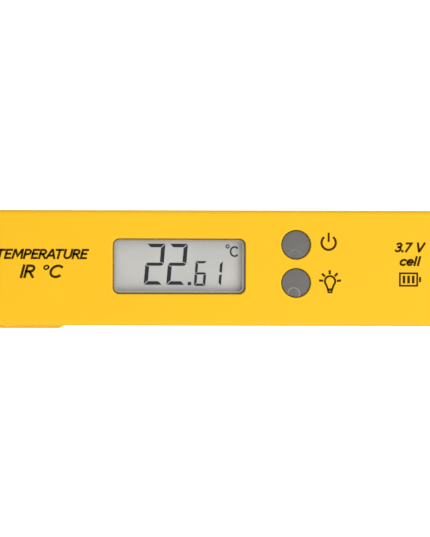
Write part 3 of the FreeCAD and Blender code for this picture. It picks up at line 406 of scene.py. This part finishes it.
# ---------------------------------------------------------------- materials
class Surface:
    """A Principled material, with short names for the nodes that its detail is made from."""

    def __init__(self, name, colour, roughness, metallic=0.0):
        self.material = bpy.data.materials.new(name)
        self.material.use_nodes = True
        self.tree = self.material.node_tree
        self.shader = self.tree.nodes["Principled BSDF"]
        self.position = self.tree.nodes.new("ShaderNodeTexCoord").outputs["Object"]
        self.colour = colour
        self.normal = None
        self.shader.inputs["Base Color"].default_value = (*colour, 1)
        self.shader.inputs["Roughness"].default_value = roughness
        self.shader.inputs["Metallic"].default_value = metallic

    def set(self, **values):
        """Sets the shader's own sockets, such as sheen_weight for Sheen Weight."""
        for name, value in values.items():
            self.shader.inputs[name.replace("_", " ").title().replace("Ior", "IOR")].default_value = value

    def placed(self, stretch=(1, 1, 1)):
        """The surface's position, its axes scaled."""
        mapping = self.tree.nodes.new("ShaderNodeMapping")
        mapping.inputs["Scale"].default_value = stretch
        self.tree.links.new(self.position, mapping.inputs["Vector"])
        return mapping.outputs["Vector"]

    def noise(self, size, detail=2.0, stretch=(1, 1, 1), seed=0.0):
        """Noise about 0.5, with features of that size in metres. Each seed gives another pattern."""
        node = self.tree.nodes.new("ShaderNodeTexNoise")
        node.noise_dimensions = "4D"
        node.inputs["W"].default_value = seed
        node.inputs["Scale"].default_value = 1 / size
        node.inputs["Detail"].default_value = detail
        self.tree.links.new(self.placed(stretch), node.inputs["Vector"])
        return node.outputs["Fac"]

    def cells(self, size, feature="F1"):
        """The distance from the middle of each cell, for cells of that size in metres."""
        node = self.tree.nodes.new("ShaderNodeTexVoronoi")
        node.feature = feature
        node.inputs["Scale"].default_value = 1 / size
        self.tree.links.new(self.placed(), node.inputs["Vector"])
        return node.outputs["Distance"]

    def waves(self, size, axis):
        """Bands across an axis. At a scale of 1 they repeat every pi / 10."""
        node = self.tree.nodes.new("ShaderNodeTexWave")
        node.bands_direction = axis
        node.inputs["Scale"].default_value = math.pi / 10 / size
        self.tree.links.new(self.position, node.inputs["Vector"])
        return node.outputs["Fac"]

    def axis(self, name):
        node = self.tree.nodes.new("ShaderNodeSeparateXYZ")
        self.tree.links.new(self.position, node.inputs[0])
        return node.outputs[name]

    def math(self, kind, a, b=0.0):
        """Arithmetic on numbers or sockets. Kinds that take one value leave b out."""
        node = self.tree.nodes.new("ShaderNodeMath")
        node.operation = kind
        for socket, value in zip(node.inputs, (a, b)):
            if isinstance(value, (int, float)):
                socket.default_value = value
            else:
                self.tree.links.new(value, socket)
        return node.outputs[0]

    def off_middle(self, axis, middle):
        """How far the surface is from a plane across an axis."""
        return self.math("ABSOLUTE", self.math("SUBTRACT", self.axis(axis), middle))

    def distance(self, point, flat=False):
        """How far the surface is from a point, seen from above if flat."""
        node = self.tree.nodes.new("ShaderNodeVectorMath")
        node.operation = "DISTANCE"
        source = self.placed((1, 1, 0)) if flat else self.position
        self.tree.links.new(source, node.inputs[0])
        node.inputs[1].default_value = (point[0], point[1], 0) if flat else point
        return node.outputs["Value"]

    def ramp(self, value, from_low, from_high, to_low=0.0, to_high=1.0, smooth=False):
        node = self.tree.nodes.new("ShaderNodeMapRange")
        node.interpolation_type = "SMOOTHSTEP" if smooth else "LINEAR"
        self.tree.links.new(value, node.inputs["Value"])
        ends = {"From Min": from_low, "From Max": from_high, "To Min": to_low, "To Max": to_high}
        for name, number in ends.items():
            node.inputs[name].default_value = number
        return node.outputs["Result"]

    def blend(self, share, a, b):
        """The colour a where share is 0 and b where it is 1. Each is a colour or a socket."""
        node = self.tree.nodes.new("ShaderNodeMix")
        node.data_type = "RGBA"
        self.tree.links.new(share, node.inputs["Factor"])
        colours = [socket for socket in node.inputs if socket.type == "RGBA"]
        for socket, value in zip(colours, (a, b)):
            if isinstance(value, tuple):
                socket.default_value = (*value, 1)
            else:
                self.tree.links.new(value, socket)
        return next(socket for socket in node.outputs if socket.type == "RGBA")

    def tint(self, share, colour):
        """Lays another colour over the surface where share is high."""
        current = self.shader.inputs["Base Color"]
        under = current.links[0].from_socket if current.is_linked else self.colour
        self.tree.links.new(self.blend(share, under, colour), current)

    def specks(self, noise, low, high, most, colour):
        """Tints the places where noise is over low, up to most of the colour where it is over high."""
        self.tint(self.ramp(noise, low, high, 0, most), colour)

    def mottle(self, size, amount, detail=3.0, stretch=(1, 1, 1)):
        """Slightly darker and lighter patches of the base colour. It comes before any tint."""
        share = self.ramp(self.noise(size, detail, stretch), *NOISE_RANGE)
        darker = tuple(c * (1 - amount) for c in self.colour)
        lighter = tuple(min(1, c * (1 + amount)) for c in self.colour)
        self.tree.links.new(self.blend(share, darker, lighter), self.shader.inputs["Base Color"])

    def rough(self, size, low, high, stretch=(1, 1, 1)):
        """Patches of roughness between low and high."""
        patches = self.ramp(self.noise(size, 3.0, stretch, seed=5.0), *NOISE_RANGE, low, high)
        self.tree.links.new(patches, self.shader.inputs["Roughness"])

    def bump(self, height, depth, strength=1.0):
        """Adds relief: height is a share from 0 to 1, depth its full height in metres."""
        node = self.tree.nodes.new("ShaderNodeBump")
        node.inputs["Distance"].default_value = depth
        node.inputs["Strength"].default_value = strength
        self.tree.links.new(height, node.inputs["Height"])
        if self.normal is not None:
            self.tree.links.new(self.normal, node.inputs["Normal"])
        self.normal = node.outputs["Normal"]
        self.tree.links.new(self.normal, self.shader.inputs["Normal"])

    def gloss(self, head_on, grazing):
        """How much of the light a clear surface reflects, from head on to grazing."""
        facing = self.tree.nodes.new("ShaderNodeLayerWeight").outputs["Facing"]
        return self.ramp(self.math("POWER", facing, 3.0), 0, 1, head_on, grazing)

    def metal(self, share):
        self.tree.links.new(share, self.shader.inputs["Metallic"])

    def alpha(self, share):
        self.tree.links.new(share, self.shader.inputs["Alpha"])


def yellow_plastic(name, colour):
    """Satin moulded plastic: fine spark texture, faint flow marks and slightly uneven colour."""
    skin = Surface(name, colour, 0.42)
    skin.set(specular_ior_level=0.22)
    skin.mottle(22 * MM, 0.012, 2.0)
    darker = tuple(0.86 * c for c in colour)
    skin.specks(skin.noise(0.35 * MM, 2.0, seed=2.0), 0.56, 0.8, 0.10, darker)
    skin.rough(1.4 * MM, 0.36, 0.47)
    skin.bump(skin.noise(0.16 * MM, 2.0, seed=1.0), 0.006 * MM, 0.5)
    skin.bump(skin.noise(6 * MM, 1.0, seed=3.0), 0.02 * MM, 0.25)
    return skin.material


def grey_rubber(name, marks):
    """Matte silicone: fine pores, dust and a faint paler arc on each key."""
    skin = Surface(name, (0.148, 0.145, 0.137), 0.72)
    skin.set(specular_ior_level=0.3, sheen_weight=0.08, sheen_roughness=0.5)
    skin.mottle(1.6 * MM, 0.05)
    for centre, radius, strength in marks:
        away = skin.math("ABSOLUTE", skin.math("SUBTRACT", skin.distance(centre, flat=True), radius))
        line = skin.ramp(away, 0.06 * MM, 0.2 * MM, 1, 0, smooth=True)
        broken = skin.ramp(skin.noise(0.5 * MM, 2.0, seed=8.0), 0.36, 0.6, 0.35, 1)
        share = skin.math("MULTIPLY", skin.math("MULTIPLY", line, broken), strength)
        skin.tint(share, (0.32, 0.33, 0.30))
    skin.specks(skin.noise(0.12 * MM, 1.0, seed=4.0), 0.62, 0.72, 0.18, (0.30, 0.29, 0.28))
    skin.rough(0.6 * MM, 0.64, 0.8)
    skin.bump(skin.noise(0.09 * MM, 2.0, seed=6.0), 0.006 * MM, 0.6)
    return skin.material


def black_rubber(name):
    """Soft black rubber, with pale dust in its pores."""
    skin = Surface(name, (0.022, 0.022, 0.023), 0.65)
    skin.set(specular_ior_level=0.35, sheen_weight=0.1)
    skin.mottle(1.2 * MM, 0.15)
    skin.specks(skin.noise(0.2 * MM, 2.0, seed=3.0), 0.6, 0.75, 0.3, (0.06, 0.06, 0.058))
    skin.rough(0.8 * MM, 0.55, 0.75)
    skin.bump(skin.noise(0.12 * MM, 2.0, seed=1.0), 0.008 * MM, 0.6)
    return skin.material


def plain_plastic(name, colour):
    """Moulded technical plastic for switches, frames and connectors."""
    skin = Surface(name, colour, 0.35)
    skin.mottle(1.5 * MM, 0.06)
    skin.rough(0.7 * MM, 0.35, 0.5)
    skin.bump(skin.noise(0.12 * MM, 2.0), 0.005 * MM, 0.6)
    return skin.material


def turned_metal(name, colour, metallic, pitch, low, high):
    """Metal or an anodised surface, with fine tool marks that run round the X axis."""
    skin = Surface(name, colour, low, metallic)
    skin.mottle(1.0 * MM, 0.06, stretch=(6, 1, 1))
    skin.rough(0.5 * MM, low, high, stretch=(4, 1, 1))
    skin.bump(skin.waves(pitch, "X"), 0.006 * MM, 0.5)
    skin.bump(skin.noise(0.08 * MM, 1.0), 0.002 * MM, 0.4)
    return skin.material


def bare_metal(name, colour, low, high):
    """Plated or plain metal, with smudges."""
    skin = Surface(name, colour, low, 1.0)
    skin.mottle(0.8 * MM, 0.08)
    skin.rough(0.4 * MM, low, high)
    skin.bump(skin.noise(0.1 * MM, 2.0), 0.003 * MM, 0.5)
    return skin.material


def window_pane(name, low, high):
    """Clear acrylic: its bevelled edge is tinted grey as a painted reflection, and its border behind the
    casing is printed dark, with a brown tint that is painted shade of the casing wall seen through the gap.

    Its clear part is a mirror as faint as the acrylic's own gloss, so it shines at shallow angles."""
    skin = Surface(name, (0.97, 0.98, 0.98), 0.07)
    skin.mottle(9 * MM, 0.01)
    skin.rough(5 * MM, 0.12, 0.18)
    depth = skin.math("SUBTRACT", high.z, skin.axis("Z"))
    bevel = skin.ramp(depth, *BEVEL_DEPTHS, 0, BEVEL_PAINTED_REFLECTION)
    border = skin.math("GREATER_THAN", depth, BORDER_DEPTH)
    under = skin.math("GREATER_THAN", depth, (high.z - low.z) * 0.95)
    # Painted reflection: the bevel is tinted grey and made partly solid, standing for what a clear polished
    # bevel reflects.
    skin.tint(skin.ramp(depth, *BEVEL_DEPTHS), (0.47, 0.48, 0.49))
    # The border is printed dark; its brown is painted shade, for the shaded casing wall that shows through
    # the gap.
    skin.tint(border, (0.09, 0.055, 0.008))
    edge = skin.math("MAXIMUM", bevel, border)
    skin.metal(skin.ramp(edge, 0.01, BEVEL_PAINTED_REFLECTION / 2, 1, 0))
    shown = skin.math("MAXIMUM", edge, skin.gloss(0.04, 0.5))
    skin.alpha(skin.math("MULTIPLY", shown, skin.math("SUBTRACT", 1.0, under)))
    return skin.material


def display_film(name):
    """The display's matte face: grey with a very fine vertical grain and a soft cloudiness."""
    skin = Surface(name, (0.548, 0.546, 0.520), 0.45)
    skin.mottle(9 * MM, 0.045, 2.0)
    grain = skin.noise(0.05 * MM, 1.0, stretch=(1, 0.08, 1), seed=2.0)
    skin.specks(grain, 0.4, 0.7, 0.12, (0.48, 0.49, 0.47))
    skin.rough(3 * MM, 0.4, 0.5)
    skin.bump(skin.noise(0.06 * MM, 1.0), 0.001 * MM, 0.3)
    return skin.material


def liquid_crystal(name):
    """The reading's dark segments: blue-black, a little uneven."""
    skin = Surface(name, (0.007, 0.009, 0.016), 0.4)
    skin.set(specular_ior_level=0.25)
    skin.mottle(1.2 * MM, 0.2)
    skin.rough(0.8 * MM, 0.35, 0.45)
    return skin.material


def ink(name):
    """Pad-printed black ink: matte, and thin in places, where the yellow warms it."""
    skin = Surface(name, (0.048, 0.024, 0.001), 0.5)
    skin.set(specular_ior_level=0.03)
    skin.specks(skin.noise(0.18 * MM, 2.0), 0.5, 0.75, 0.5, (0.10, 0.055, 0.004))
    skin.rough(0.4 * MM, 0.32, 0.46)
    skin.bump(skin.noise(0.1 * MM, 2.0), 0.002 * MM, 0.5)
    return skin.material


def clear_solid(name, colour, alpha, roughness):
    """Glass and clear plastic inside the case."""
    skin = Surface(name, colour, roughness)
    skin.mottle(4 * MM, 0.03)
    skin.rough(2 * MM, roughness, roughness + 0.06)
    skin.alpha(skin.ramp(skin.noise(5 * MM, 1.0, seed=4.0), 0.3, 0.7, alpha - 0.03, alpha + 0.03))
    return skin.material


def label_stock(name):
    """Blank silver-grey label: fine fibres, a printed border line and blank rules."""
    low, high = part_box("rear_label")
    middle, half = (low + high) / 2, (high - low) / 2
    skin = Surface(name, (0.52, 0.53, 0.54), 0.4)
    skin.mottle(0.5 * MM, 0.06, stretch=(0.15, 1, 1))
    x = skin.math("SUBTRACT", half.x, skin.off_middle("X", middle.x))
    y = skin.math("SUBTRACT", half.y, skin.off_middle("Y", middle.y))
    inside = skin.math("MINIMUM", x, y)
    border = skin.math("ABSOLUTE", skin.math("SUBTRACT", inside, LABEL_BORDER))
    skin.tint(skin.ramp(border, 0.09 * MM, 0.13 * MM, 0.85, 0), (0.02, 0.02, 0.02))
    row = skin.math("FRACT", skin.math("DIVIDE", skin.axis("Y"), LABEL_RULES))
    rows = skin.math("ABSOLUTE", skin.math("SUBTRACT", row, 0.5))
    within = skin.math("GREATER_THAN", inside, LABEL_MARGIN)
    skin.tint(skin.math("MULTIPLY", skin.ramp(rows, 0.02, 0.035, 0.7, 0), within), (0.05, 0.05, 0.05))
    skin.rough(0.3 * MM, 0.34, 0.5, stretch=(0.15, 1, 1))
    skin.bump(skin.noise(0.15 * MM, 2.0, stretch=(0.2, 1, 1)), 0.003 * MM, 0.5)
    return skin.material


def circuit_board(name):
    """Green solder mask with tracks, pads and vias."""
    skin = Surface(name, (0.008, 0.075, 0.03), 0.3)
    tracks = skin.tree.nodes.new("ShaderNodeTexBrick")
    tracks.inputs["Scale"].default_value = 1 / (6 * MM)
    tracks.inputs["Mortar Size"].default_value = 0.035
    tracks.inputs["Mortar Smooth"].default_value = 0.1
    skin.tree.links.new(skin.position, tracks.inputs["Vector"])
    skin.mottle(2 * MM, 0.12)
    skin.tint(tracks.outputs["Fac"], (0.03, 0.18, 0.06))
    vias = skin.ramp(skin.cells(1.7 * MM), 0.09, 0.12, 1, 0)
    skin.tint(vias, (0.55, 0.5, 0.35))
    skin.rough(1 * MM, 0.22, 0.36)
    skin.bump(tracks.outputs["Fac"], 0.03 * MM, 0.6)
    skin.bump(skin.noise(0.2 * MM), 0.004 * MM, 0.4)
    return skin.material


def chip(name, node):
    """A chip's moulded body with a dot at pin 1, and tinned leads round it."""
    low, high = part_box(node)
    middle, half = (low + high) / 2, (high - low) / 2
    skin = Surface(name, (0.018, 0.018, 0.02), 0.55)
    skin.mottle(0.5 * MM, 0.2)
    x, y = skin.off_middle("X", middle.x), skin.off_middle("Y", middle.y)
    leads = skin.math("GREATER_THAN", skin.math("MAXIMUM", x, y), half.x - CHIP_LEAD)
    dot_at = middle + Vector((-half.x * 0.5, half.y * 0.5, 0))
    dot = skin.ramp(skin.distance(dot_at, flat=True), 0.3 * MM, 0.36 * MM, 0.6, 0)
    skin.tint(dot, (0.09, 0.09, 0.09))
    skin.tint(leads, (0.6, 0.6, 0.58))
    skin.metal(leads)
    skin.rough(0.3 * MM, 0.4, 0.6)
    skin.bump(skin.noise(0.08 * MM), 0.006 * MM, 0.6)
    return skin.material


def cell_foil(name):
    """The pouch cell's foil: crinkled, with a band of amber tape over its sealed end."""
    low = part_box("battery_cell")[0]
    skin = Surface(name, (0.6, 0.61, 0.63), 0.35, 0.6)
    skin.mottle(3 * MM, 0.06)
    tape = skin.ramp(skin.axis("X"), low.x + TAPE_LENGTH, low.x + TAPE_LENGTH + 0.1 * MM, 1, 0)
    skin.tint(tape, (0.5, 0.2, 0.02))
    skin.rough(1.5 * MM, 0.26, 0.44)
    skin.bump(skin.cells(2.4 * MM, "SMOOTH_F1"), 0.08 * MM, 0.5)
    skin.bump(skin.noise(0.5 * MM, 3.0), 0.02 * MM, 0.5)
    return skin.material


def zebra_rubber(name):
    """Contact strip: thin conducting layers between insulating ones."""
    skin = Surface(name, (0.35, 0.12, 0.09), 0.6)
    skin.mottle(0.8 * MM, 0.1)
    skin.tint(skin.ramp(skin.waves(ZEBRA_PITCH, "X"), 0.4, 0.6), (0.02, 0.02, 0.02))
    skin.rough(0.4 * MM, 0.5, 0.7)
    skin.bump(skin.waves(ZEBRA_PITCH, "X"), 0.01 * MM, 0.5)
    return skin.material


def wire_jacket(name, colour):
    """The leads' smooth insulation."""
    skin = Surface(name, colour, 0.4)
    skin.mottle(1.0 * MM, 0.12)
    skin.rough(0.8 * MM, 0.32, 0.5)
    skin.bump(skin.noise(0.25 * MM, 2.0, stretch=(0.3, 1, 1)), 0.01 * MM, 0.5)
    return skin.material


def foam_tape(name):
    """Black foam with open cells."""
    skin = Surface(name, (0.03, 0.03, 0.03), 0.9)
    skin.mottle(0.4 * MM, 0.3)
    skin.rough(0.3 * MM, 0.8, 0.95)
    skin.bump(skin.cells(0.12 * MM), 0.05 * MM, 0.8)
    return skin.material


def infrared_plastic(name):
    """The lens's milky plastic, with its fine moulded rings."""
    skin = Surface(name, (0.56, 0.57, 0.55), 0.28)
    skin.set(subsurface_weight=0.25, subsurface_scale=0.5 * MM)
    skin.mottle(2 * MM, 0.04)
    rings = skin.math("FRACT", skin.math("DIVIDE", skin.distance(LENS), LENS_PITCH))
    skin.rough(0.5 * MM, 0.22, 0.34)
    skin.bump(rings, 0.012 * MM, 0.5)
    return skin.material


def dark_filter(name):
    """The sensor's glossy filter."""
    skin = Surface(name, (0.05, 0.035, 0.04), 0.08, 0.3)
    skin.mottle(1 * MM, 0.15)
    skin.rough(1 * MM, 0.05, 0.14)
    return skin.material


def ceramic_chips(name):
    """Chip resistors and capacitors, in browns that differ from one to the next."""
    skin = Surface(name, (0.30, 0.20, 0.12), 0.5)
    skin.mottle(1.1 * MM, 0.5, 1.0)
    skin.rough(0.3 * MM, 0.4, 0.6)
    skin.bump(skin.noise(0.1 * MM), 0.008 * MM, 0.6)
    return skin.material


def floor_paint(name):
    """Plain pale studio floor, which glows a little."""
    skin = Surface(name, (0.93, 0.93, 0.93), 0.9)
    skin.mottle(0.3, 0.004)
    skin.set(specular_ior_level=0.1)
    skin.shader.inputs["Emission Color"].default_value = (1, 1, 1, 1)
    skin.shader.inputs["Emission Strength"].default_value = FLOOR_GLOW
    return skin.material


MATERIALS = {
    "yellow_plastic": yellow_plastic("yellow_plastic", YELLOW),
    # The trigger's plastic is a darker copy of the casing's: painted shade.
    "trigger_plastic": yellow_plastic("trigger_plastic", SHADED_TRIGGER_YELLOW),
    "black_plastic": plain_plastic("black_plastic", (0.016, 0.016, 0.017)),
    "white_plastic": plain_plastic("white_plastic", (0.72, 0.71, 0.68)),
    "grey_rubber": grey_rubber("grey_rubber", KEY_MARKS),
    "black_rubber": black_rubber("black_rubber"),
    "contact_rubber": zebra_rubber("contact_rubber"),
    "clear_pane": window_pane("clear_pane", *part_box("display_window")),
    "display_glass": clear_solid("display_glass", (0.75, 0.78, 0.76), 0.2, 0.05),
    "display_face": display_film("display_face"),
    "light_spreader": clear_solid("light_spreader", (0.85, 0.88, 0.86), 0.6, 0.3),
    "foam": foam_tape("foam"),
    "label": label_stock("label"),
    "circuit_board": circuit_board("circuit_board"),
    "ceramic_chip": ceramic_chips("ceramic_chip"),
    "tinned_metal": bare_metal("tinned_metal", (0.62, 0.62, 0.6), 0.25, 0.4),
    "nickel": bare_metal("nickel", (0.66, 0.64, 0.6), 0.16, 0.3),
    "screw_steel": bare_metal("screw_steel", (0.5, 0.5, 0.5), 0.25, 0.42),
    "spring_steel": bare_metal("spring_steel", (0.55, 0.55, 0.56), 0.2, 0.34),
    "anodised_barrel": turned_metal("anodised_barrel", (0.02, 0.02, 0.022), 0.7, BARREL_PITCH, 0.3, 0.42),
    "infrared_plastic": infrared_plastic("infrared_plastic"),
    "filter_glass": dark_filter("filter_glass"),
    "cell_foil": cell_foil("cell_foil"),
    "red_wire": wire_jacket("red_wire", (0.42, 0.012, 0.01)),
    "black_wire": wire_jacket("black_wire", (0.015, 0.015, 0.015)),
}


def dress_cad_nodes():
    """Gives every CAD node the material of its slot.

    Chips get one each, because their leads' places differ."""
    slots = {part["node"]: part["material_slot"] for part in frame["record"]["subparts"]}
    for node, thing in frame["nodes"].items():
        slot = slots[node]
        material = chip(node + "_plastic", node) if slot == "chip_plastic" else MATERIALS[slot]
        thing.data.materials.clear()
        thing.data.materials.append(material)


def dress(pieces, material, body):
    """Gives new pieces their material, and tells the frame their body."""
    for piece in pieces:
        piece.data.materials.clear()
        piece.data.materials.append(material)
        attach(piece, body)


def trigger_coil():
    """The trigger's spring: a copy of its CAD node, which is hidden."""
    coil = new_object("trigger_coil", frame["nodes"]["trigger_spring"].data.copy())
    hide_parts("trigger_spring")
    dress([coil], MATERIALS["spring_steel"], "casing")
    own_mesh(coil)


dress_cad_nodes()
trigger_coil()
dress(printed(), ink("print_ink"), "casing")
dress([reading()], liquid_crystal("display_ink"), "casing")


# ---------------------------------------------------------------- studio
def studio_camera():
    """Straight above the face."""
    data = bpy.data.cameras.new("camera")
    data.lens = data.sensor_width * VIEW_DISTANCE / VIEW_HEIGHT
    data.clip_end = 10
    camera = new_object("camera", data)
    camera.location = VIEW_CENTRE + Vector((0, 0, VIEW_DISTANCE))
    camera.rotation_euler = (0, 0, VIEW_ROLL)
    bpy.context.scene.camera = camera


def soft_light(name, place, size, watts):
    """A square-cornered lamp that shines at the origin."""
    data = bpy.data.lights.new(name, "AREA")
    data.shape = "RECTANGLE"
    data.size, data.size_y = size
    data.energy = watts
    light = new_object(name, data)
    light.location = place
    light.rotation_euler = (-Vector(place)).to_track_quat("-Z", "Y").to_euler()


def floor():
    """A wide floor, a hair below the back so that the two faces don't fight."""
    mesh = bpy.data.meshes.new("floor")
    half = FLOOR_HALF
    corners = [(-half, -half, 0), (half, -half, 0), (half, half, 0), (-half, half, 0)]
    mesh.from_pydata(corners, [], [(0, 1, 2, 3)])
    ground = new_object("floor", mesh)
    ground.location.z = BACK_Z - FLOOR_GAP
    ground.visible_diffuse = False
    mesh.materials.append(floor_paint("floor_paint"))


def surroundings():
    """A dim even room."""
    world = bpy.data.worlds.new("studio")
    bpy.context.scene.world = world
    world.use_nodes = True
    sky = world.node_tree.nodes["Background"]
    sky.inputs["Color"].default_value = (1, 1, 1, 1)
    sky.inputs["Strength"].default_value = ROOM_LIGHT


studio_camera()
floor()
surroundings()
for light in LIGHTS:
    soft_light(*light)
bpy.context.scene.view_settings.view_transform = "Standard"
